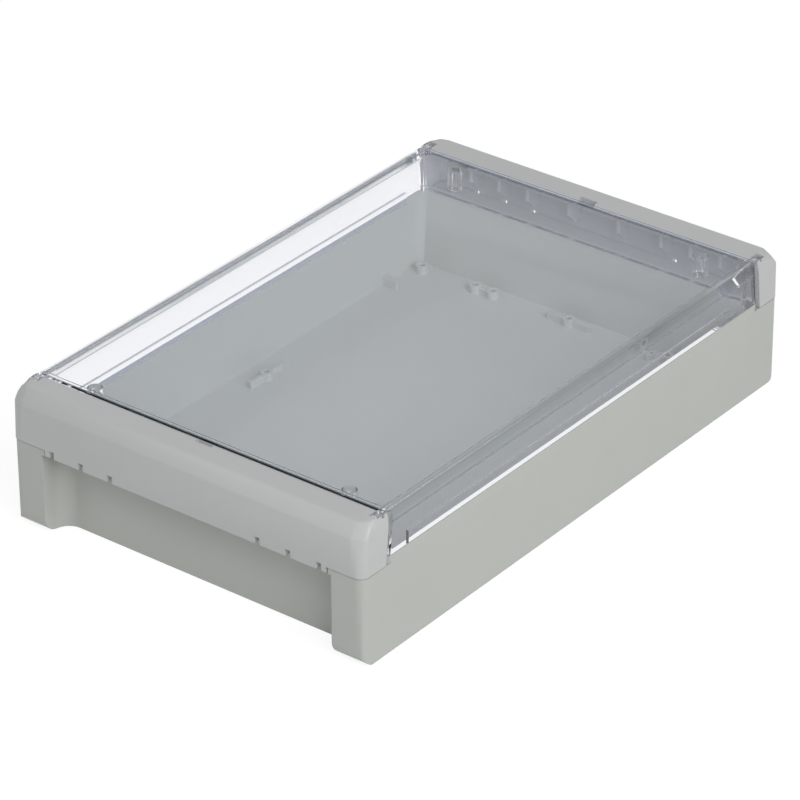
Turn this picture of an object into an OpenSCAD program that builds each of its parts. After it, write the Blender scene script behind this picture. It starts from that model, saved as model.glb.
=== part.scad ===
// Moulded wall and rail enclosure: a deep base, a clear lid on a seal, and an end cap over each end.
// The near cap flips up on two trunnions, and the lid then swings open on the far cap.
// X is the long axis, the near cap is at -X, Z is up, and the origin is the centre of the underside.

/* [Overall] */
// Length over both end caps
length = 271; // [250:1:300]
// Width over the long sides
width = 170; // [160:1:190]
// Height from the underside to the top of the lid
height = 60; // [57:0.5:70]

/* [Base] */
// Thickness of the long side walls
side_wall = 3; // [2.8:0.1:3.4]
// Height of the rim that the lid closes on
rim_h = 41; // [40:0.5:43]
// Height of the floor that the bosses stand on
floor_h = 6.5; // [5:0.5:10]
// Thickness of the floor
floor_t = 3; // [2:0.5:4.5]
// Depth of the recess in each end, from the face of the caps to the end wall
recess_depth = 12.3; // [11.8:0.1:13.5]
// Width of each leg beside the end recesses
leg_w = 15; // [14:0.5:18]
// Radius of the rounded foot at each end
foot_r = 7; // [4:0.5:9]
// Radius of the upright corners in plan
corner_r = 6; // [4.5:0.5:7]
// Radius in the inner corners of the end recesses
recess_r = 7; // [3:0.5:9]
// Radius of the upright corners inside
cavity_r = 5; // [3:0.5:6]
// Inward lean of the shoulder below the rim
shoulder_in = 1; // [0.5:0.1:1.2]
// Height of the leaning shoulder
shoulder_h = 4; // [3:0.5:6]
// Chamfer along the lower long edges
edge_chamfer = 0.8; // [0.4:0.1:1.5]

/* [Fixings] */
// Distance of the wall screws from the end faces of the caps
wall_screw_end = 6.5; // [6.3:0.1:6.6]
// Distance of the wall screws from the long sides
wall_screw_side = 7.5; // [7:0.1:8]
// Diameter of the wall screw holes
wall_screw_d = 5.2; // [4:0.1:6]
// Diameter of the channel that takes the screw head
head_d = 9.2; // [8:0.1:9.6]
// Spacing of the rail adaptor screws along the length
rail_screw_x = 120; // [100:5:160]
// Spacing of the rail adaptor screws across the width
rail_screw_y = 48; // [40:2:60]
// Diameter of the rail adaptor pilot holes
rail_pilot_d = 3.2; // [2.5:0.1:4]

/* [Bosses] */
// Outer diameter of a circuit board boss
boss_d = 5.4; // [4.6:0.1:6.5]
// Height of a boss above the floor
boss_h = 3.4; // [2.5:0.1:8]
// Diameter of the pilot hole in a boss
boss_pilot_d = 2.4; // [1.8:0.1:3]
// Distance of the end row of bosses from the inner end wall
boss_end_gap = 8.3; // [7:0.1:12]
// Distance of the corner bosses from the inner side wall
boss_side_gap = 6; // [4.5:0.1:10]
// Distance of the side bosses from the inner side wall
side_boss_gap = 11; // [9:0.5:14]
// Half spacing of the outer bosses of the pairs
pair_outer_y = 48; // [44:1:54]
// Half spacing of the inner bosses of the pairs
pair_inner_y = 39; // [30:1:41]
// Reach of each wing beside a winged boss
wing_l = 10.5; // [6:0.5:14]

/* [Lid] */
// Thickness of the lid's top
lid_top_t = 2.6; // [2:0.1:3]
// Thickness of the lid's walls
lid_wall = 2.4; // [2:0.1:2.7]
// Width of the flat rim beside the sunk field, on the long sides
lid_rim_w = 5.3; // [4:0.1:8]
// Width of the flat rim at each end
lid_end_rim_w = 1.5; // [1:0.1:3]
// Depth of the sunk field
field_depth = 0.5; // [0.3:0.1:0.8]
// Corner radius of the sunk field
field_r = 8; // [4:0.5:12]
// Height of the leaning facet along the lid's long edges
facet_h = 6.5; // [5:0.5:8]
// Inward lean of that facet
facet_in = 1.7; // [1:0.1:2.5]
// Diameter of a lid post
post_d = 6; // [5:0.1:7]
// Length of a lid post below the lid's top
post_l = 8.6; // [6:0.1:12]
// Distance of the posts from the end of the lid
post_end_gap = 6.4; // [6:0.1:9]
// Distance of the posts from the lid's narrow end sides
post_side_gap = 21; // [8:0.5:30]

/* [End caps] */
// Distance from the pivot of a cap to its outer face
cap_reach = 13.3; // [12.9:0.1:13.6]
// Depth of the pivot below the top
pivot_drop = 2.5; // [2.4:0.1:2.7]
// Wall thickness of a cap
cap_wall = 2.2; // [1.8:0.1:2.4]
// Radius of a cap's outer edges
cap_r = 6; // [5:0.5:7]
// Height of a cap's lower edge in the middle
cap_low = 36; // [35:0.5:37]
// Step in from the legs to the lower middle part of a cap
cap_low_in = 2; // [1:0.1:3]
// Diameter of a trunnion
trunnion_d = 2.2; // [1.8:0.1:2.4]
// Width of a slit beside a snap finger
slit_w = 2.3; // [1.5:0.1:3]
// Height of a slit above the lower edge
slit_h = 3; // [2:0.5:6]
// Distance of the first slit from the end of the lower middle part
slit_in = 3.3; // [3:0.1:6]
// Spacing of the slits, which is the width of a snap finger with one slit
finger_pitch = 14.5; // [12:0.5:16]
// Thickness of a cap's inner ribs
rib_t = 1.6; // [1:0.1:2.2]

/* [Seal] */
// Width of the seal
seal_w = 1.1; // [0.9:0.1:1.3]
// Height of the seal
seal_h = 1.15; // [1:0.05:1.5]

/* [Fits] */
// Gap between pieces that move past each other
gap = 0.3; // [0.25:0.05:0.35]
// Radial play of a trunnion in its bore
pivot_play = 0.05; // [0.03:0.01:0.08]
// Gap between the lid's walls and the base's rim
lid_gap = 0.4; // [0.3:0.05:0.5]

/* [Hidden] */

smooth = 64;
eps = 0.01;
far = 400;

half_l = length / 2;
half_w = width / 2;

// Base
leg_x = half_l - 0.4;
leg_in_y = half_w - leg_w;
end_x = half_l - recess_depth;
rim_setback = 1.3;
rim_x = end_x - rim_setback;
end_rim_w = 4.1;
end_draft = 1.5;
cavity_x = rim_x - end_rim_w;
cavity_y = half_w - side_wall;
cavity_floor_x = cavity_x - end_draft;
cap_bottom = 38.5;
leg_top = cap_bottom - gap;
shelf_t = 2.7;
shelf_bottom = leg_top - shelf_t;
skirt_gap = 0.5;
shelf_x = half_l - cap_wall - skirt_gap;
screw_seat_h = 6;
wall_screw_x = half_l - wall_screw_end;
wall_screw_y = half_w - wall_screw_side;
cap_low_y = leg_in_y - cap_low_in;
shelf_side_gap = 0.6;
under_depth = floor_h - floor_t;
under_frame = 4;
under_rib = 2;
rail_boss_d = 8;

// Seal
seat_w = seal_w + 0.1;
lid_z = rim_h + lid_gap;
seal_top = lid_z - 0.05;
seal_z = seal_top - seal_h;

// Bosses
boss_x = cavity_x - boss_end_gap;
corner_boss_y = cavity_y - boss_side_gap;
side_boss_y = cavity_y - side_boss_gap;
stop_rib_x = cavity_x - 26.8;
stop_rib_l = 7;
stop_rib_t = 2;
wing_t = 1.8;

// Pivots
pivot_x = half_l - cap_reach;
pivot_z = height - pivot_drop;
nose_r = pivot_drop;
cheek_r = nose_r + 0.1;
cheek_y = half_w - cap_wall;
ear_r = nose_r - gap;
ear_y1 = cheek_y - gap;
ear_t = 2.4;
ear_y0 = ear_y1 - ear_t;

// Lid
lid_x = pivot_x - nose_r - gap;
lid_y = half_w - shoulder_in;
lid_end_y = ear_y1;
lid_side_x = lid_x - 2.7;
lid_side_lean = 2;
crease_z = height - facet_h;
lip_t = 1.3;
lip_drop = 2;
lip_x = lid_x - 14.4;
post_pilot_d = 2.2;
post_y = lid_end_y - post_side_gap;
field_x = lid_x - lid_end_rim_w;
field_y = lid_y - facet_in - lid_rim_w;

// Caps
cheek_low_x = pivot_x - 0.7;
finger_slits = [for (i = [0 : 2]) cap_low_y - slit_in - i * finger_pitch];
rib_beside_slit = 2.1;
mid_rib_y = 12.4;
rib_places = concat([mid_rib_y], [for (y = finger_slits) y - rib_beside_slit]);
shell_over = 10;
rib_in_x = pivot_x + 3.8;
rib_low = rim_h + 1.5;
rib_chamfer = 4;
notch_w = 8;
nib_w = 6;
nib_h = 1.4;
nib_out = 0.3;
nib_root = 0.5;
nib_edge = 0.3;
notch_in = 0.6;

base_color = [0.72, 0.73, 0.71];
cap_color = [0.66, 0.67, 0.66];
lid_color = [0.72, 0.80, 0.86, 0.4];
seal_color = [0.55, 0.58, 0.60];

// A rectangle with round corners, given by its half sizes
module rounded_rect(x, y, r) {
    square([2 * x, 2 * (y - r)], center = true);
    square([2 * (x - r), 2 * y], center = true);
    for (sx = [-1, 1], sy = [-1, 1])
        translate([sx * (x - r), sy * (y - r)])
            circle(r, $fn = smooth);
}

// Extrudes an X-Z outline along Y, centred
module along_y(l) {
    rotate([90, 0, 0])
        linear_extrude(l, center = true)
            children();
}

// Extrudes a Y-Z outline along X, centred
module along_x(l) {
    rotate([90, 0, 90])
        linear_extrude(l, center = true)
            children();
}

// Copies the children to both ends and both sides
module four_corners() {
    for (sx = [0, 1], sy = [0, 1])
        mirror([sx, 0, 0])
            mirror([0, sy, 0])
                children();
}

module both_ends() {
    for (sx = [0, 1])
        mirror([sx, 0, 0])
            children();
}

module both_sides() {
    for (sy = [0, 1])
        mirror([0, sy, 0])
            children();
}

// ---- Base ----

// The base's cross-section: chamfered lower edges and a leaning shoulder under the rim
module base_section() {
    lean_z = rim_h - shoulder_h;
    polygon([
        [-half_w + edge_chamfer, 0],
        [half_w - edge_chamfer, 0],
        [half_w, edge_chamfer],
        [half_w, lean_z],
        [half_w - shoulder_in, rim_h],
        [-half_w + shoulder_in, rim_h],
        [-half_w, lean_z],
        [-half_w, edge_chamfer]
    ]);
}

// The legs seen from the side, with rounded feet
module leg_profile() {
    translate([0, leg_top / 2 + foot_r / 2])
        square([2 * leg_x, leg_top - foot_r], center = true);
    translate([0, foot_r / 2])
        square([2 * (leg_x - foot_r), foot_r], center = true);
    for (s = [-1, 1])
        translate([s * (leg_x - foot_r), foot_r])
            circle(foot_r, $fn = smooth);
}

module base_form() {
    intersection() {
        along_x(far) base_section();
        union() {
            intersection() {
                linear_extrude(leg_top) rounded_rect(leg_x, half_w, corner_r);
                along_y(far) leg_profile();
            }
            linear_extrude(rim_h) rounded_rect(rim_x, half_w, corner_r);
        }
    }
}

// The open pocket in one end, between the legs and below the shelf
module end_recess() {
    depth = 30;
    translate([end_x + depth, 0, -1])
        linear_extrude(shelf_bottom + 1)
            rounded_rect(depth, leg_in_y, recess_r);
    skirt_y = cap_low_y + shelf_side_gap;
    translate([shelf_x, -skirt_y, shelf_bottom - 1])
        cube([recess_depth, 2 * skirt_y, leg_top]);
}

// The inside of the base: drafted end walls, straight side walls, round corners
module base_cavity() {
    top = rim_h + 1;
    intersection() {
        translate([0, 0, floor_h])
            linear_extrude(top - floor_h)
                rounded_rect(cavity_x, cavity_y, cavity_r);
        along_y(far)
            polygon([
                [-cavity_floor_x, floor_h - 1],
                [cavity_floor_x, floor_h - 1],
                [cavity_x, rim_h],
                [cavity_x, top],
                [-cavity_x, top],
                [-cavity_x, rim_h]
            ]);
    }
}

// The step that the seal lies in
module seal_seat() {
    translate([0, 0, seal_z])
        linear_extrude(far)
            rounded_rect(cavity_x + seat_w, cavity_y + seat_w, cavity_r + seat_w);
}

// A channel for the screw's head above a plain hole, through one leg
module wall_screw_channel() {
    translate([wall_screw_x, wall_screw_y, 0]) {
        translate([0, 0, -1])
            cylinder(h = leg_top + 2, d = wall_screw_d, $fn = smooth);
        translate([0, 0, screw_seat_h])
            cylinder(h = leg_top, d = head_d, $fn = smooth);
    }
}

// The shallow hollow below the floor, divided by stiffening ribs
module under_hollow() {
    x_bays = 4;
    y_bays = 3;
    span_x = 2 * (cavity_floor_x - under_frame);
    span_y = 2 * (cavity_y - under_frame);
    bay_x = (span_x - (x_bays - 1) * under_rib) / x_bays;
    bay_y = (span_y - (y_bays - 1) * under_rib) / y_bays;
    difference() {
        for (i = [0 : x_bays - 1], j = [0 : y_bays - 1])
            translate([-span_x / 2 + i * (bay_x + under_rib), -span_y / 2 + j * (bay_y + under_rib), -1])
                cube([bay_x, bay_y, under_depth + 1]);
        four_corners()
            translate([rail_screw_x / 2, rail_screw_y / 2, -2])
                cylinder(h = under_depth + 3, d = rail_boss_d, $fn = smooth);
    }
}

module rail_pilots() {
    depth = floor_h - 1.2;
    four_corners()
        translate([rail_screw_x / 2, rail_screw_y / 2, -1])
            cylinder(h = depth + 1, d = rail_pilot_d, $fn = smooth);
}

module boss_at(x, y) {
    translate([x, y, floor_h - eps])
        cylinder(h = boss_h + eps, d = boss_d, $fn = smooth);
}

module boss_pilot_at(x, y) {
    translate([x, y, floor_h - 1])
        cylinder(h = boss_h + 2, d = boss_pilot_d, $fn = smooth);
}

// Every boss in one quarter of the base, drawn by the module given as children at each place
module bosses() {
    four_corners() {
        boss_at(boss_x, corner_boss_y);
        boss_at(boss_x, pair_outer_y);
        boss_at(boss_x, pair_inner_y);
        // The web between the two bosses of a pair
        translate([boss_x - wing_t / 2, pair_inner_y, floor_h - eps])
            cube([wing_t, pair_outer_y - pair_inner_y, boss_h - 0.6]);
        // The rib that stops a board against the side wall
        translate([stop_rib_x - stop_rib_t / 2, cavity_y - stop_rib_l, floor_h - eps])
            cube([stop_rib_t, stop_rib_l + 1, boss_h + 0.6]);
    }
    both_ends() {
        boss_at(boss_x, 0);
        translate([boss_x - wing_t / 2, -wing_l, floor_h - eps])
            cube([wing_t, 2 * wing_l, boss_h - 0.4]);
    }
    both_sides() {
        boss_at(0, side_boss_y);
        translate([-wing_l, side_boss_y - wing_t / 2, floor_h - eps])
            cube([2 * wing_l, wing_t, boss_h - 0.4]);
    }
}

module boss_pilots() {
    four_corners() {
        boss_pilot_at(boss_x, corner_boss_y);
        boss_pilot_at(boss_x, pair_outer_y);
        boss_pilot_at(boss_x, pair_inner_y);
    }
    both_ends() boss_pilot_at(boss_x, 0);
    both_sides() boss_pilot_at(0, side_boss_y);
}

module base_shell() {
    color(base_color)
        difference() {
            union() {
                difference() {
                    base_form();
                    both_ends() end_recess();
                    base_cavity();
                    seal_seat();
                    under_hollow();
                }
                bosses();
            }
            four_corners() wall_screw_channel();
            boss_pilots();
            rail_pilots();
        }
}

// ---- Seal ----

module rim_seal() {
    play = (seat_w - seal_w) / 2;
    color(seal_color)
        translate([0, 0, seal_z])
            linear_extrude(seal_h)
                difference() {
                    rounded_rect(cavity_x + play + seal_w, cavity_y + play + seal_w, cavity_r + play + seal_w);
                    rounded_rect(cavity_x + play, cavity_y + play, cavity_r + play);
                }
}

// ---- Lid ----

// The lid's cross-section, inset by the given wall and closed by the given top
module lid_section(wall, top) {
    y = lid_y - wall;
    polygon([
        [-y, lid_z],
        [y, lid_z],
        [y, crease_z],
        [y - facet_in, height - top],
        [-y + facet_in, height - top],
        [-y, crease_z]
    ]);
}

// The stretch between the end caps' cheeks, where the lid has its full width
module lid_full_width() {
    low_x = lid_side_x + lid_side_lean;
    along_y(far)
        polygon([
            [-low_x, lid_z - 1],
            [low_x, lid_z - 1],
            [lid_side_x, crease_z],
            [lid_side_x, height + 1],
            [-lid_side_x, height + 1],
            [-lid_side_x, crease_z]
        ]);
}

module lid_form() {
    along_x(2 * lid_x) intersection() {
        lid_section(0, 0);
        translate([0, height / 2]) square([2 * lid_end_y, 2 * height], center = true);
    }
    intersection() {
        along_x(2 * lid_x) lid_section(0, 0);
        lid_full_width();
    }
}

module lid_cavity() {
    inner_x = lid_x - lid_wall;
    end_zone_y = ear_y0 - 0.6;
    translate([0, 0, -eps])
        intersection() {
            along_x(2 * (lid_side_x - 2)) lid_section(lid_wall, lid_top_t);
            translate([-far / 2, -far / 2, 0]) cube(far);
        }
    translate([-inner_x, -end_zone_y, lid_z - 1])
        cube([2 * inner_x, 2 * end_zone_y, height - lid_top_t - lid_z + 1]);
}

// The lips that locate the lid between the base's side walls
module lid_lips() {
    y1 = cavity_y - gap;
    both_sides()
        translate([-lip_x, y1 - lip_t, lid_z - lip_drop])
            cube([2 * lip_x, lip_t, lip_drop + 3]);
}

module lid_posts() {
    four_corners()
        translate([lid_x - post_end_gap, post_y, height - lid_top_t - post_l])
            cylinder(h = post_l + 1, d = post_d, $fn = smooth);
}

module lid_post_pilots() {
    four_corners()
        translate([lid_x - post_end_gap, post_y, height - lid_top_t - post_l - 1])
            cylinder(h = post_l, d = post_pilot_d, $fn = smooth);
}

// The ears that carry the end caps' trunnions
module lid_ears() {
    root = 3.5;
    four_corners()
        translate([pivot_x, ear_y0 + ear_t / 2, pivot_z])
            along_y(ear_t) {
                circle(ear_r, $fn = smooth);
                polygon([
                    [-nose_r - gap - 1, -root - 2],
                    [-nose_r - gap, -root - 2],
                    [ear_r * cos(-50), ear_r * sin(-50)],
                    [0, 0],
                    [0, ear_r],
                    [-nose_r - gap - 1, ear_r]
                ]);
            }
}

module trunnion_bores() {
    four_corners()
        translate([pivot_x, ear_y0 - 0.2, pivot_z])
            rotate([-90, 0, 0])
                cylinder(h = ear_t + 1, d = trunnion_d + 2 * pivot_play, $fn = smooth);
}

module clear_lid() {
    color(lid_color)
        difference() {
            union() {
                difference() {
                    lid_form();
                    lid_cavity();
                }
                lid_lips();
                lid_posts();
                lid_ears();
            }
            translate([0, 0, height - field_depth])
                linear_extrude(far) rounded_rect(field_x, field_y, field_r);
            lid_post_pilots();
            trunnion_bores();
        }
}

// ---- End caps ----

// A block with one end, two sides and the top meeting in round edges and ball corners
module ball_end(x0, x1, y, z0, z1, r) {
    translate([x0, -y + r, z0]) cube([x1 - r - x0, 2 * (y - r), z1 - z0]);
    translate([x0, -y + r, z0]) cube([x1 - x0, 2 * (y - r), z1 - r - z0]);
    translate([x0, -y, z0]) cube([x1 - r - x0, 2 * y, z1 - r - z0]);
    translate([x1 - r, 0, z1 - r]) along_y(2 * (y - r)) circle(r, $fn = smooth);
    both_sides() {
        translate([x1 - r, y - r, z0]) cylinder(h = z1 - r - z0, r = r, $fn = smooth);
        translate([x1 - r, y - r, z1 - r]) sphere(r, $fn = smooth);
        translate([x0, y - r, z1 - r])
            rotate([0, 90, 0])
                cylinder(h = x1 - r - x0, r = r, $fn = smooth);
    }
}

// What a cap keeps between its cheeks: a lip with a round nose about the pivot
module lip_outline() {
    translate([pivot_x, pivot_z]) circle(nose_r, $fn = smooth);
    translate([pivot_x, 0]) square([far, far]);
}

// What a cap keeps at its cheeks: a round eye about the pivot, leaning down to the base
module cheek_outline() {
    translate([pivot_x, pivot_z]) circle(cheek_r, $fn = smooth);
    polygon([
        [cheek_low_x, 0],
        [cheek_low_x, cap_bottom],
        [pivot_x - cheek_r, pivot_z],
        [pivot_x, pivot_z],
        [pivot_x, far],
        [far, far],
        [far, 0]
    ]);
}

module cap_shell() {
    inner_x0 = pivot_x - 2 * shell_over;
    difference() {
        ball_end(pivot_x - shell_over, half_l, half_w, cap_low, height, cap_r);
        ball_end(inner_x0, half_l - cap_wall, half_w - cap_wall, cap_low - 5, height - cap_wall, cap_r - cap_wall);
        // The edge stands higher over the legs than in the middle
        both_sides()
            translate([inner_x0, cap_low_y, 0])
                cube([far, far, cap_bottom]);
    }
}

// The gap in the lip that a lid ear works in
module ear_slots() {
    both_sides()
        translate([pivot_x - far, ear_y0 - gap, pivot_z - nose_r - 1])
            cube([far + nose_r + gap, ear_t + 2 * gap, far]);
}

module cap_ribs() {
    x1 = half_l - cap_wall + 0.5;
    z1 = height - cap_wall + 0.5;
    for (y = rib_places)
        both_sides()
            translate([0, y, 0])
                along_y(rib_t)
                    polygon([
                        [rib_in_x, z1],
                        [rib_in_x, rib_low + rib_chamfer],
                        [rib_in_x + rib_chamfer, rib_low],
                        [x1, rib_low],
                        [x1, z1 - cap_r + cap_wall],
                        [x1 - cap_r + cap_wall, z1]
                    ]);
}

// Two snap fingers a side, each between slits and with a nib behind it
module finger_slit_cuts() {
    for (y = finger_slits)
        both_sides()
            translate([half_l - cap_wall - 1, y - slit_w / 2, 0])
                cube([far, slit_w, cap_low + slit_h]);
}

module finger_nibs() {
    face = half_l - cap_wall;
    for (i = [0 : len(finger_slits) - 2])
        both_sides()
            translate([0, (finger_slits[i] + finger_slits[i + 1]) / 2, 0])
                along_y(nib_w)
                    polygon([
                        [face + nib_root, cap_low + nib_edge],
                        [face, cap_low + nib_edge],
                        [face - nib_out, cap_low + nib_h],
                        [face, cap_low + 2 * nib_h],
                        [face + nib_root, cap_low + 2 * nib_h]
                    ]);
}

module trunnions() {
    both_sides()
        translate([pivot_x, ear_y0, pivot_z])
            rotate([-90, 0, 0])
                cylinder(h = cheek_y - ear_y0 + 0.5, d = trunnion_d, $fn = smooth);
}

module end_cap() {
    difference() {
        union() {
            intersection() {
                cap_shell();
                union() {
                    along_y(2 * cheek_y) lip_outline();
                    along_y(far)
                        cheek_outline();
                }
            }
            cap_ribs();
            finger_nibs();
        }
        ear_slots();
        finger_slit_cuts();
        // The slot in the middle of the lip, for levering the cap up
        translate([pivot_x - far, -notch_w / 2, cap_bottom])
            cube([far + notch_in, notch_w, far]);
    }
    trunnions();
}

module left_end_cap() {
    color(cap_color)
        mirror([1, 0, 0])
            end_cap();
}

module right_end_cap() {
    color(cap_color)
        end_cap();
}

base_shell();
rim_seal();
clear_lid();
left_end_cap();
right_end_cap();
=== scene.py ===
"""Looks of a moulded electronics enclosure with a clear lid and two end caps."""
import logging
import math
from dataclasses import dataclass, field
from enum import Enum
from typing import Any, Mapping, Protocol, Sequence

import bmesh
import bpy
from mathutils import Matrix, Vector


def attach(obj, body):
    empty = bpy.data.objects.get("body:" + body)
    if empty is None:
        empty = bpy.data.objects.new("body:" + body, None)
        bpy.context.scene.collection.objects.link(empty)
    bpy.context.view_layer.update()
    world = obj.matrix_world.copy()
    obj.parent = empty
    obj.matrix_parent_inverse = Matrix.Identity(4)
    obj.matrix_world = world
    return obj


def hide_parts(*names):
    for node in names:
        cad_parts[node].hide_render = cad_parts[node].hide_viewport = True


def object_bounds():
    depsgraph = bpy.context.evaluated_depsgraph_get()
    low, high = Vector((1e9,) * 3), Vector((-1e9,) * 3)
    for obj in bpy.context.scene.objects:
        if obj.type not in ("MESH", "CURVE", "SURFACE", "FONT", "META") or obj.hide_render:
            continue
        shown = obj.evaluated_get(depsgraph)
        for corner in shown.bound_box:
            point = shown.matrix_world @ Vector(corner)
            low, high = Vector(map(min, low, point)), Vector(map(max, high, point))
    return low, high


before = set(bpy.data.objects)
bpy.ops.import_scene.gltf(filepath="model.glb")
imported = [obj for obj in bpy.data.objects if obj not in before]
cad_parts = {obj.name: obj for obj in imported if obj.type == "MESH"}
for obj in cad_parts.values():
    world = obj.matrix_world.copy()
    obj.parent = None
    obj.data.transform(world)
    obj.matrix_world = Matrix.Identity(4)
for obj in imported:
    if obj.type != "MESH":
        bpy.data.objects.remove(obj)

log = logging.getLogger("enclosure")

WHITE = (1.0, 1.0, 1.0, 1.0)

# How many rays a softened edge takes at each point.
EDGE_SAMPLES = 6


class Body(Enum):
    """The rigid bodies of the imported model."""

    BASE = "base"
    LID = "lid"
    LEFT_CAP = "left_cap"


class Slot(Enum):
    """The record's material slots of the mouldings."""

    BASE = "base_plastic"
    CAP = "cap_plastic"
    CLEAR = "clear_plastic"


# ---------------------------------------------------------------- shader maths


@dataclass(frozen=True)
class Wire:
    """One output socket of a node tree, with Python's operators as Math nodes."""

    graph: "Graph"
    socket: Any

    def _math(self, operation: str, *values: Any) -> "Wire":
        """Adds a Math node.

        Args:
            operation: the Math node's operation.
            values: its inputs, in order.
        Returns:
            The node's result.
        """
        return self.graph.node("ShaderNodeMath", {"operation": operation}, dict(enumerate(values)))

    def __add__(self, other: Any) -> "Wire":
        """Adds a value."""
        return self._math("ADD", self, other)

    __radd__ = __add__

    def __sub__(self, other: Any) -> "Wire":
        """Takes a value away."""
        return self._math("SUBTRACT", self, other)

    def __rsub__(self, other: Any) -> "Wire":
        """Takes this from a value."""
        return self._math("SUBTRACT", other, self)

    def __mul__(self, other: Any) -> "Wire":
        """Multiplies by a value."""
        return self._math("MULTIPLY", self, other)

    def __truediv__(self, other: Any) -> "Wire":
        """Divides by a value."""
        return self._math("DIVIDE", self, other)

    def __pow__(self, other: Any) -> "Wire":
        """Raises to a power."""
        return self._math("POWER", self, other)

    def highest(self, other: Any) -> "Wire":
        """The higher of this and a value."""
        return self._math("MAXIMUM", self, other)

    def lowest(self, other: Any) -> "Wire":
        """The lower of this and a value."""
        return self._math("MINIMUM", self, other)

    def size(self) -> "Wire":
        """The value without its sign."""
        return self._math("ABSOLUTE", self)


class Graph:
    """A material's or a world's node tree, built through one method."""

    def __init__(self, name: str, world: bool = False) -> None:
        """Makes an empty tree with an output.

        Args:
            name: the name of the material or the world.
            world: whether it is a world.
        """
        self.owner = (bpy.data.worlds if world else bpy.data.materials).new(name)
        self.owner.use_nodes = True
        self.tree = self.owner.node_tree
        self.tree.nodes.clear()
        kind = "ShaderNodeOutputWorld" if world else "ShaderNodeOutputMaterial"
        self.output = self.tree.nodes.new(kind)

    def node(
        self,
        kind: str,
        settings: Mapping[str, Any] | None = None,
        inputs: Mapping[Any, Any] | None = None,
        out: Any = 0,
    ) -> Wire:
        """Adds any node.

        Args:
            kind: the node's type.
            settings: its properties.
            inputs: values or wires by socket name or index.
            out: the output socket that is returned.
        Returns:
            The chosen output.
        """
        made = self.tree.nodes.new(kind)
        for key, value in (settings or {}).items():
            setattr(made, key, value)
        for key, value in (inputs or {}).items():
            if isinstance(value, Wire):
                self.tree.links.new(value.socket, made.inputs[key])
            else:
                made.inputs[key].default_value = value
        return Wire(self, made.outputs[out])

    def coordinates(self) -> Wire:
        """The object's own coordinates, in metres."""
        return self.node("ShaderNodeTexCoord", out="Object")

    def ray(self, question: str) -> Wire:
        """What a Light Path output says of the ray at hand."""
        return self.node("ShaderNodeLightPath", out=question)

    def seen(self) -> Wire:
        """1 for rays that show a surface: those of the camera, of gloss and through clear plastic."""
        shown = self.ray("Is Camera Ray").highest(self.ray("Is Glossy Ray"))
        return shown.highest(self.ray("Is Transmission Ray"))

    def axes(self) -> tuple[Wire, Wire, Wire]:
        """The object's coordinates as three values, in metres."""
        split = self.node("ShaderNodeSeparateXYZ", {}, {0: self.coordinates()})
        return tuple(Wire(self, output) for output in split.socket.node.outputs)

    def line(self, across: Wire, up: Wire, place: tuple[float, float], reach: float) -> Wire:
        """1 on a straight moulded edge, fading to 0: the mask of a painted dark line.

        Args:
            across: the distance from the middle plane that the edge runs beside.
            up: the height.
            place: where the edge lies, as distance and height.
            reach: how far the painted line reaches from the edge.
        Returns:
            The fading line.
        """
        off = ((across - place[0]) ** 2.0 + (up - place[1]) ** 2.0) ** 0.5
        return (1.0 - off / reach).highest(0.0)

    def noise(self, scale: float, detail: float = 2.0, rough: float = 0.5) -> Wire:
        """Noise on the object's coordinates.

        Args:
            scale: its scale, per metre.
            detail: how many finer layers it has.
            rough: how strong those layers are.
        Returns:
            The noise, from 0 to 1.
        """
        return self.node(
            "ShaderNodeTexNoise",
            {},
            {"Vector": self.coordinates(), "Scale": scale, "Detail": detail, "Roughness": rough},
            "Fac",
        )

    def mix(self, factor: Any, first: Any, second: Any) -> Wire:
        """Mixes two colours."""
        inputs = {0: factor, 6: first, 7: second}
        return self.node("ShaderNodeMix", {"data_type": "RGBA"}, inputs, 2)

    def blend(self, factor: Any, first: Wire, second: Wire) -> Wire:
        """Mixes two shaders."""
        return self.node("ShaderNodeMixShader", {}, {0: factor, 1: first, 2: second})

    def bump(self, height: Wire, strength: float, distance: float, edge: float = 0.0) -> Wire:
        """A bumped normal.

        Args:
            height: the height over the surface.
            strength: the bump's strength.
            distance: the bump's depth.
            edge: the radius that softens the object's sharp edges, or 0.
        Returns:
            The normal.
        """
        inputs = {"Height": height, "Strength": strength, "Distance": distance}
        if edge:
            inputs["Normal"] = self.node("ShaderNodeBevel", {"samples": EDGE_SAMPLES}, {"Radius": edge})
        return self.node("ShaderNodeBump", {}, inputs)

    def finish(self, shader: Wire) -> Any:
        """Links the shader to the output and gives the material or world."""
        self.tree.links.new(shader.socket, self.output.inputs["Surface"])
        return self.owner


# ------------------------------------------------------------------- finishes


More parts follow.
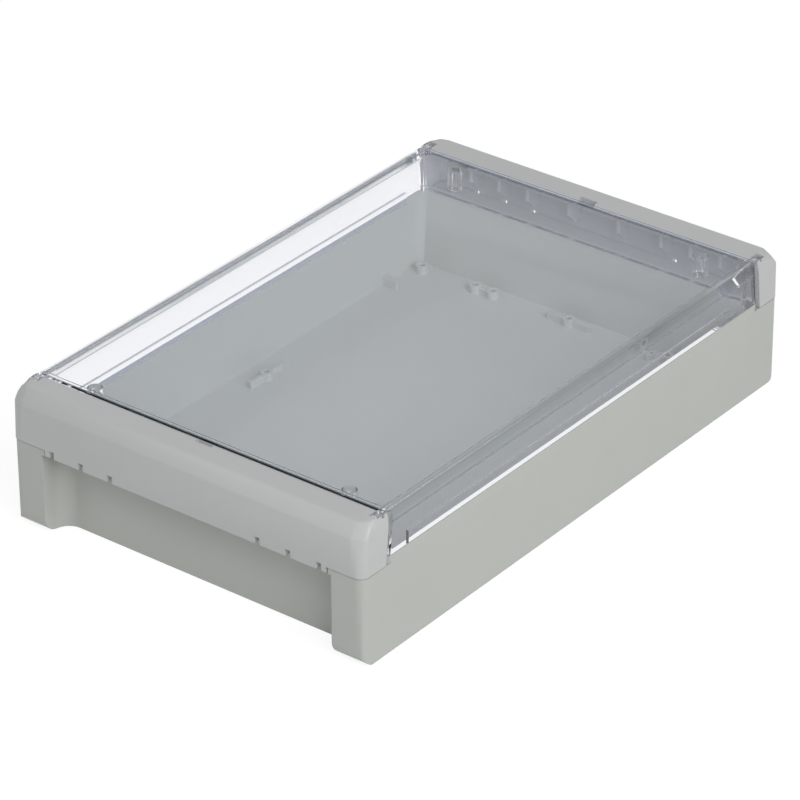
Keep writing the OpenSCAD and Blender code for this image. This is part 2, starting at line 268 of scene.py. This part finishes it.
@dataclass(frozen=True)
class MouldedPlastic:
    """Opaque thermoplastic with the fine grain of a spark-eroded mould.

    Attributes:
        name: the material's name.
        colour: its colour, in linear light.
        roughness: its middle roughness.
        roughness_spread: how far the grain moves the roughness.
        bend: its index of refraction.
        cloud: the scale of its faint mottling, per metre.
        mottle: the share by which the mottling lightens and darkens it.
        grain: the scale of the mould's grain, per metre.
        grain_height: the depth of the grain, in metres.
        grain_strength: the strength of the grain's bump.
        edge: the radius that softens its sharp edges, in metres.
    """

    name: str
    colour: tuple[float, float, float]
    roughness: float = 0.46
    roughness_spread: float = 0.10
    bend: float = 1.5
    cloud: float = 55.0
    mottle: float = 0.025
    grain: float = 9000.0
    grain_height: float = 0.00002
    grain_strength: float = 0.25
    edge: float = 0.0005

    def build(self) -> bpy.types.Material:
        """Makes the material.

        Returns:
            The finished material.
        """
        graph = Graph(self.name)
        cloud = graph.noise(self.cloud, detail=3.0)
        light = tuple(c * (1 + self.mottle) for c in self.colour) + (1.0,)
        dark = tuple(c * (1 - self.mottle) for c in self.colour) + (1.0,)
        grain = graph.noise(self.grain, rough=0.6)
        shader = graph.node(
            "ShaderNodeBsdfPrincipled",
            {},
            {
                "Base Color": graph.mix(cloud, dark, light),
                "Roughness": self.roughness + (grain - 0.5) * self.roughness_spread,
                "IOR": self.bend,
                "Normal": graph.bump(grain, self.grain_strength, self.grain_height, self.edge),
            },
        )
        return graph.finish(shader)


@dataclass(frozen=True)
class ClearPlastic:
    """Clear polycarbonate, shown as the thin walls of a moulded cover with a gloss on their faces and
    dark lines painted along the edges, a painted stand-in for the refraction seen there.

    Attributes:
        name: the material's name.
        edges_y: the moulded edges along the sides, as distance from the middle plane and height.
        edges_x: the moulded edges across the ends, told in the same way.
        body: the tint of what is seen through one face.
        shade: the tint of the light that falls through one face.
        bend: the index of refraction of the thin walls, lower than that of a solid block.
        solid_bend: the plastic's own index, which sets how strong its gloss is.
        gloss_roughness: the roughness of the gloss.
        painted_edge_refraction: the dark colour painted along the edges, which stands for the refraction
            seen there, in linear light.
        edge_roughness: their roughness.
        edge_share: how much of what lies behind they hide at most.
        edge_reach: how far from the edge they show, in metres.
        edge_fade: how steeply they fade within that reach.
    """

    name: str
    edges_y: tuple[tuple[float, float], ...]
    edges_x: tuple[tuple[float, float], ...]
    body: tuple[float, float, float] = (0.988, 0.992, 1.0)
    shade: tuple[float, float, float] = (0.930, 0.945, 1.0)
    bend: float = 1.14
    solid_bend: float = 1.585
    gloss_roughness: float = 0.03
    painted_edge_refraction: tuple[float, float, float] = (0.20, 0.23, 0.27)
    edge_roughness: float = 0.25
    edge_share: float = 0.65
    edge_reach: float = 0.0006
    edge_fade: float = 2.0

    def build(self) -> bpy.types.Material:
        """Makes the material.

        Returns:
            The finished material.
        """
        graph = Graph(self.name)
        shade = graph.node("ShaderNodeBsdfTransparent", {}, {"Color": self.shade + (1.0,)})
        through = {"Color": self.body + (1.0,), "Roughness": 0.0, "IOR": self.bend}
        clear = graph.node("ShaderNodeBsdfGlass", {}, through)
        shine = {"Color": WHITE, "Roughness": self.gloss_roughness}
        gloss = graph.node("ShaderNodeBsdfGlossy", {}, shine)
        mirror = graph.node("ShaderNodeFresnel", {}, {"IOR": self.solid_bend})
        front = 1.0 - graph.node("ShaderNodeNewGeometry", out="Backfacing")
        wall = graph.blend(mirror * front, clear, gloss)
        # Painted dark refraction: an opaque dark shader laid over the clear walls along the moulded
        # edges, standing for the refraction seen there.
        painted_edge = graph.node(
            "ShaderNodeBsdfPrincipled",
            {},
            {
                "Base Color": self.painted_edge_refraction + (1.0,),
                "Roughness": self.edge_roughness,
                "IOR": self.solid_bend,
            },
        )
        # Lays the painted dark edge over the walls where the edge lines lie.
        seen = graph.blend(self.painted_edge_lines(graph), wall, painted_edge)
        lighting = graph.ray("Is Shadow Ray").highest(graph.ray("Is Diffuse Ray"))
        return graph.finish(graph.blend(lighting, seen, shade))

    def painted_edge_lines(self, graph: Graph) -> Wire:
        """The share of painted dark edge along the lid's moulded edges, which stands for the refraction
        seen there.

        Args:
            graph: the material's tree.
        Returns:
            The share, from 0 to edge_share.
        """
        x, y, z = graph.axes()
        share = None
        for across, places in ((y.size(), self.edges_y), (x.size(), self.edges_x)):
            for place in places:
                line = graph.line(across, z, place, self.edge_reach)
                share = line if share is None else share.highest(line)
        return (share * self.edge_fade).lowest(1.0) * self.edge_share


@dataclass(frozen=True)
class SealFoam:
    """Foamed sealing rubber with small cells.

    Attributes:
        name: the material's name.
        colour: its colour inside a cell, in linear light.
        wall_light: how many times lighter the walls between cells can be.
        roughness: its roughness inside a cell.
        roughness_spread: how much rougher the walls can be.
        cells: the scale of the cells, per metre.
        cell_strength: the strength of the cells' bump.
        cell_depth: the depth of that bump, in metres.
    """

    name: str
    colour: tuple[float, float, float] = (0.42, 0.44, 0.45)
    wall_light: float = 1.3
    roughness: float = 0.7
    roughness_spread: float = 0.2
    cells: float = 2500.0
    cell_strength: float = 0.4
    cell_depth: float = 0.00005

    def build(self) -> bpy.types.Material:
        """Makes the material.

        Returns:
            The finished material.
        """
        graph = Graph(self.name)
        places = {"Vector": graph.coordinates(), "Scale": self.cells}
        cells = graph.node("ShaderNodeTexVoronoi", {}, places, "Distance")
        light = tuple(c * self.wall_light for c in self.colour) + (1.0,)
        shader = graph.node(
            "ShaderNodeBsdfPrincipled",
            {},
            {
                "Base Color": graph.mix(cells, self.colour + (1.0,), light),
                "Roughness": self.roughness + cells * self.roughness_spread,
                "Normal": graph.bump(cells, self.cell_strength, self.cell_depth),
            },
        )
        return graph.finish(shader)


# ------------------------------------------------------------------ fine forms

HALF_L, HALF_W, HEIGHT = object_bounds()[1]

# How near a plain face a point counts as on it, and how far past a fine one it still counts as inside.
ON_FACE = 0.00006
INSIDE = 1e-9

# Corners that lie nearer than WELD are one; edges that turn by more than SHARP stay sharp.
WELD = 1e-6
SHARP = math.radians(24)


class Form(Protocol):
    """An outside that a moulding's faces are drawn to, told for the corner where x and y are positive."""

    def move(self, x: float, y: float, z: float) -> tuple[float, float, float]:
        """Where a point of the plain solid lies on the fine form."""


@dataclass(frozen=True)
class CapForm:
    """A cap's outside: nearly sharp edges along the sides and a ball at each upper corner.

    Attributes:
        plain_round: the radius of the CAD cap's edges.
        plan_round: the radius of the upright corners.
        end_round: the radius of the upper edge across the end.
        crease: the height from which the sides lean in.
        facet_in: how far they lean in at the top.
        ball_radius: the radius of the ball.
        ball_in: how far the ball's centre lies inside the corner, along each axis.
        search: the range in which a fine face is sought, in plain radii.
        steps: how many times that range is halved.
    """

    plain_round: float = 0.006
    plan_round: float = 0.004
    end_round: float = 0.006
    crease: float = 0.055
    facet_in: float = 0.0008
    ball_radius: float = 0.0247
    ball_in: tuple[float, float, float] = (0.0207, 0.0125, 0.0176)
    search: tuple[float, float] = (0.7, 1.8)
    steps: int = 22

    def holds(self, x: float, y: float, z: float) -> bool:
        """Tests a point against the faces, the rounds and the ball of the fine form.

        Args:
            x, y, z: the point.
        Returns:
            Whether it lies within all of them.
        """
        lean = self.facet_in * max(0.0, z - self.crease) / (HEIGHT - self.crease)
        if x > HALF_L + INSIDE or y > HALF_W - lean + INSIDE or z > HEIGHT + INSIDE:
            return False
        plan = (x - HALF_L + self.plan_round, y - HALF_W + self.plan_round)
        if min(plan) > 0 and math.hypot(*plan) > self.plan_round + INSIDE:
            return False
        end = (x - HALF_L + self.end_round, z - HEIGHT + self.end_round)
        if min(end) > 0 and math.hypot(*end) > self.end_round + INSIDE:
            return False
        ball = tuple(p - c + i for p, c, i in zip((x, y, z), (HALF_L, HALF_W, HEIGHT), self.ball_in))
        return min(ball) <= 0 or math.hypot(*ball) <= self.ball_radius

    def move(self, x: float, y: float, z: float) -> tuple[float, float, float]:
        """Moves a point of the plain round outside along its own normal to the fine form.

        Args:
            x, y, z: the point.
        Returns:
            The point on the fine form, or the same point if it isn't on the outside.
        """
        corner = (HALF_L, HALF_W, HEIGHT)
        core = tuple(min(p, c - self.plain_round) for p, c in zip((x, y, z), corner))
        out = (x - core[0], y - core[1], z - core[2])
        if abs(math.hypot(*out) - self.plain_round) > ON_FACE:
            return x, y, z
        low, high = self.search
        for _ in range(self.steps):
            middle = (low + high) / 2
            if self.holds(*(c + middle * o for c, o in zip(core, out))):
                low = middle
            else:
                high = middle
        return tuple(c + low * o for c, o in zip(core, out))


@dataclass(frozen=True)
class LidForm:
    """The lid's outside: steep facets along the sides and a wide sunk field.

    Attributes:
        plain_side: the CAD lid's half width.
        plain_crease: the height from which the CAD lid's sides lean in.
        plain_facet_in: how far they lean in at the top.
        side: the fine form's half width.
        crease: the height from which its sides lean in.
        facet_in: how far they lean in at the top.
        full_x: how far the sides run from the middle plane.
        end: how far the upper edges across the ends lie from the middle plane.
        plain_field: half length, half width and corner radius of the CAD lid's sunk field.
        field: the same three of the fine form.
        field_floor: the height above which a point can lie on the field's outline.
        field_edge: the height of the edge along that outline.
    """

    plain_side: float = 0.084
    plain_crease: float = 0.0535
    plain_facet_in: float = 0.0017
    side: float = 0.0845
    crease: float = 0.055
    facet_in: float = 0.0005
    full_x: float = 0.1188
    end: float = 0.1194
    plain_field: tuple[float, float, float] = (0.1179, 0.0770, 0.008)
    field: tuple[float, float, float] = (0.1176, 0.0805, 0.006)
    field_floor: float = 0.0594
    field_edge: float = 0.0598

    def edges_y(self) -> tuple[tuple[float, float], ...]:
        """The edges along the sides, as distance from the middle plane and height."""
        ridge = (self.side - self.facet_in, HEIGHT)
        return (self.side, self.crease), ridge, (self.field[1], self.field_edge)

    def edges_x(self) -> tuple[tuple[float, float], ...]:
        """The edges across the ends, as distance from the middle plane and height."""
        return (self.end, HEIGHT), (self.field[0], self.field_edge)

    def move(self, x: float, y: float, z: float) -> tuple[float, float, float]:
        """Moves a point of the side or of the field's outline to the fine form.

        Args:
            x, y, z: the point.
        Returns:
            The point on the fine form, or the same point if it is on neither.
        """
        rise = max(0.0, (z - self.plain_crease) / (HEIGHT - self.plain_crease))
        if x < self.full_x and abs(y - self.plain_side + rise * self.plain_facet_in) < ON_FACE:
            top = self.crease + rise * (HEIGHT - self.crease)
            return x, self.side - rise * self.facet_in, top if z >= self.plain_crease - ON_FACE else z
        field_x, field_y, field_r = self.plain_field
        arc = (x - field_x + field_r, y - field_y + field_r)
        if z > self.field_floor and min(arc) > -ON_FACE and abs(math.hypot(*arc) - field_r) < ON_FACE:
            new_x, new_y, new_r = self.field
            scale = new_r / field_r
            return new_x - new_r + arc[0] * scale, new_y - new_r + arc[1] * scale, z
        return x, y, z


@dataclass(frozen=True)
class BaseForm:
    """The base's outside: tighter upright corners, a small lower chamfer and a full shoulder.

    Attributes:
        leg_setback: how far the ends of the legs stand back from those of the caps.
        plain_corner: the radius of the CAD base's upright corners.
        corner: the radius of the fine form's.
        plain_chamfer: the size of the CAD base's lower chamfer.
        chamfer: the size of the fine form's.
        shoulder: the height at which the shoulder starts.
        shoulder_h: the height of its slope.
        plain_shoulder_in: how far the CAD base's shoulder comes in over that slope.
        shoulder_in: how far the fine form's does.
    """

    leg_setback: float = 0.0004
    plain_corner: float = 0.006
    corner: float = 0.004
    plain_chamfer: float = 0.0008
    chamfer: float = 0.0003
    shoulder: float = 0.037
    shoulder_h: float = 0.004
    plain_shoulder_in: float = 0.001
    shoulder_in: float = 0.0005

    def move(self, x: float, y: float, z: float) -> tuple[float, float, float]:
        """Moves a point of a corner, the chamfer or the shoulder to the fine form.

        Args:
            x, y, z: the point.
        Returns:
            The point on the fine form, or the same point if it is on none of them.
        """
        leg = HALF_L - self.leg_setback
        arc = (x - leg + self.plain_corner, y - HALF_W + self.plain_corner)
        if min(arc) > -ON_FACE and abs(math.hypot(*arc) - self.plain_corner) < ON_FACE:
            past = max(0.0, x - leg + self.corner)
            y = HALF_W - self.corner + math.sqrt(max(0.0, self.corner**2 - past**2))
            return x, y, z
        if z < self.plain_chamfer + ON_FACE:
            if abs(y - HALF_W + self.plain_chamfer - z) < ON_FACE:
                rise = self.chamfer * z / self.plain_chamfer
                return x, HALF_W - self.chamfer + rise, rise
        lean = max(0.0, z - self.shoulder) / self.shoulder_h
        if abs(y - HALF_W + lean * self.plain_shoulder_in) < ON_FACE:
            return x, HALF_W - lean * self.shoulder_in, z
        return x, y, z


# -------------------------------------------------------------------- dressing


def dress(node: str, material: bpy.types.Material) -> None:
    """Gives a carried-over CAD node its finish.

    Args:
        node: the node's name.
        material: the finish.
    """
    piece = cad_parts[node]
    piece.data.materials.clear()
    piece.data.materials.append(material)
    log.info("dressed %s with %s", node, material.name)


def moulding(node: str, body: Body, form: Form, material: bpy.types.Material) -> None:
    """Makes the visible moulding of a CAD node, with its outside drawn to a fine form.

    Args:
        node: the node that it stands for.
        body: the body that it moves with.
        form: the fine form of its outside.
        material: the finish.
    """
    name = node + ".moulding"
    work = bmesh.new()
    work.from_mesh(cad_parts[node].data)
    bmesh.ops.remove_doubles(work, verts=work.verts, dist=WELD)
    for vertex in work.verts:
        x, y, z = vertex.co
        new_x, new_y, new_z = form.move(abs(x), abs(y), z)
        vertex.co = (math.copysign(new_x, x), math.copysign(new_y, y), new_z)
    for face in work.faces:
        face.smooth = True
    for edge in work.edges:
        edge.smooth = edge.calc_face_angle(math.pi) < SHARP
    mesh = bpy.data.meshes.new(name)
    work.to_mesh(mesh)
    work.free()
    if "custom_normal" in mesh.attributes:
        mesh.attributes.remove(mesh.attributes["custom_normal"])
    mesh.materials.clear()
    mesh.materials.append(material)
    piece = bpy.data.objects.new(name, mesh)
    bpy.context.scene.collection.objects.link(piece)
    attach(piece, body.value)
    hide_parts(node)
    log.info("moulded %s with %s", node, material.name)


@dataclass
class Base:
    """The moulded base and its seal.

    Attributes:
        plastic: the base's finish.
        foam: the seal's finish.
    """

    plastic: MouldedPlastic = MouldedPlastic("base plastic", (0.510, 0.529, 0.492))
    foam: SealFoam = SealFoam("seal foam")

    def build(self) -> None:
        """Makes the base and dresses the seal."""
        moulding("base_shell", Body.BASE, BaseForm(), self.plastic.build())
        dress("rim_seal", self.foam.build())


@dataclass
class Lid:
    """The clear lid, with dark lines painted along the edges of its form for the refraction seen there.

    Attributes:
        form: the fine form of its outside.
    """

    form: LidForm = LidForm()

    def build(self) -> None:
        """Makes the lid."""
        plastic = ClearPlastic("clear polycarbonate", self.form.edges_y(), self.form.edges_x())
        moulding("clear_lid", Body.LID, self.form, plastic.build())


@dataclass
class EndCaps:
    """The two end caps.

    Attributes:
        plastic: the finish that both take.
    """

    plastic: MouldedPlastic = MouldedPlastic("cap plastic", (0.555, 0.558, 0.557), roughness=0.38)

    def build(self) -> None:
        """Makes both caps."""
        material = self.plastic.build()
        for node, body in (("left_end_cap", Body.LEFT_CAP), ("right_end_cap", Body.BASE)):
            moulding(node, body, CapForm(), material)


# ---------------------------------------------------------------------- studio


@dataclass(frozen=True)
class SoftBox:
    """A square soft lamp.

    Attributes:
        name: the lamp's name.
        direction: where it stands, from the point that it faces.
        size: its width, in metres.
        light: the radiance of a white surface that faces it, about.
    """

    name: str
    direction: tuple[float, float, float]
    size: float
    light: float

    def build(self, aim: Vector, distance: float) -> None:
        """Makes the lamp.

        Args:
            aim: the point that it faces.
            distance: how far from that point it stands.
        """
        towards = Vector(self.direction).normalized()
        lamp = bpy.data.lights.new(self.name, "AREA")
        lamp.shape = "SQUARE"
        lamp.size = self.size
        lamp.energy = self.light * math.pi**2 * distance**2
        box = bpy.data.objects.new(self.name, lamp)
        box.location = aim + towards * distance
        box.rotation_euler = (-towards).to_track_quat("-Z", "Y").to_euler()
        bpy.context.scene.collection.objects.link(box)


@dataclass
class Studio:
    """The floor, the lamps, the world and the camera.

    Attributes:
        lamps: the soft lamps.
        lamp_distance: how far they stand from the aim.
        aim: the point that the lamps face and that the camera turns about.
        azimuth: the camera's turn about the upright axis, in degrees.
        elevation: its height over the floor, in degrees.
        roll: its turn about its own axis, in degrees.
        distance: how far it stands from the aim.
        pan: how far it is moved to its left and down.
        lens: its focal length, in mm.
        sensor: the width of its sensor, in mm.
        far: the distance up to which it shows things.
        floor_half: half the floor's width.
        floor_drop: how far the floor lies under the object.
        floor_colour: its colour, in linear light.
        floor_glow: the share of plain white in what is seen of it.
        floor_white: the strength of that white.
        sky: the strength of the light from all round.
        sky_colour: its colour, in linear light.
    """

    lamps: tuple[SoftBox, ...] = (
        SoftBox("key box", (-0.35, -0.76, 0.55), 1.6, 0.56),
        SoftBox("edge box", (-0.49, 0.53, 0.69), 0.4, 0.06),
    )
    lamp_distance: float = 2.5
    aim: Vector = field(default_factory=lambda: Vector((0, 0, 0.030)))
    azimuth: float = -52.10
    elevation: float = 30.10
    roll: float = -0.30
    distance: float = 1.743165
    pan: tuple[float, float] = (0.002271, 0.006828)
    lens: float = 200.0
    sensor: float = 36.0
    far: float = 50.0
    floor_half: float = 6.0
    floor_drop: float = 0.0002
    floor_colour: tuple[float, float, float] = (0.72, 0.72, 0.72)
    floor_glow: float = 0.7
    floor_white: float = 1.25
    sky: float = 0.38
    sky_colour: tuple[float, float, float] = (0.97, 0.985, 1.0)

    def build(self) -> None:
        """Makes everything that isn't the object."""
        self.floor()
        self.world()
        for lamp in self.lamps:
            lamp.build(self.aim, self.lamp_distance)
        self.camera()
        log.info("studio set with %d lamps", len(self.lamps))

    def floor(self) -> None:
        """A pale floor that a camera sees as plain white."""
        mesh = bpy.data.meshes.new("floor")
        half = self.floor_half
        corners = [(-half, -half, 0), (half, -half, 0), (half, half, 0), (-half, half, 0)]
        mesh.from_pydata(corners, [], [(0, 1, 2, 3)])
        floor = bpy.data.objects.new("floor", mesh)
        floor.location.z = -self.floor_drop
        bpy.context.scene.collection.objects.link(floor)
        graph = Graph("floor white")
        diffuse = graph.node("ShaderNodeBsdfDiffuse", {}, {"Color": self.floor_colour + (1.0,)})
        glow = {"Color": WHITE, "Strength": self.floor_white}
        white = graph.node("ShaderNodeEmission", {}, glow)
        shader = graph.blend(graph.seen() * self.floor_glow, diffuse, white)
        mesh.materials.append(graph.finish(shader))

    def world(self) -> None:
        """An even soft light from all round, white where it is seen."""
        graph = Graph("studio", world=True)
        soft = {"Color": self.sky_colour + (1.0,), "Strength": self.sky}
        light = graph.node("ShaderNodeBackground", {}, soft)
        white = graph.node("ShaderNodeBackground", {}, {"Color": WHITE, "Strength": 1.0})
        bpy.context.scene.world = graph.finish(graph.blend(graph.seen(), light, white))

    def camera(self) -> None:
        """A long lens, high on the corner between the near end and the right side."""
        turn, rise, roll = (math.radians(a) for a in (self.azimuth, self.elevation, self.roll))
        level = math.cos(rise)
        back = Vector((math.sin(turn) * level, -math.cos(turn) * level, math.sin(rise)))
        right = Vector((math.cos(turn), math.sin(turn), 0))
        up = back.cross(right)
        side = right * math.cos(roll) + up * math.sin(roll)
        top = up * math.cos(roll) - right * math.sin(roll)
        place = self.aim + back * self.distance - side * self.pan[0] - top * self.pan[1]
        lens = bpy.data.cameras.new("camera")
        lens.lens = self.lens
        lens.sensor_width = self.sensor
        lens.clip_end = self.far
        camera = bpy.data.objects.new("camera", lens)
        camera.matrix_world = Matrix(
            (
                (side.x, top.x, back.x, place.x),
                (side.y, top.y, back.y, place.y),
                (side.z, top.z, back.z, place.z),
                (0, 0, 0, 1),
            )
        )
        bpy.context.scene.collection.objects.link(camera)
        bpy.context.scene.camera = camera
        bpy.context.scene.view_settings.view_transform = "Standard"


def main() -> None:
    """Builds every sub-assembly in order."""
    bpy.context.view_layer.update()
    Base().build()
    Lid().build()
    EndCaps().build()
    Studio().build()


if __name__ == "__main__":
    logging.basicConfig(level=logging.INFO)
    main()
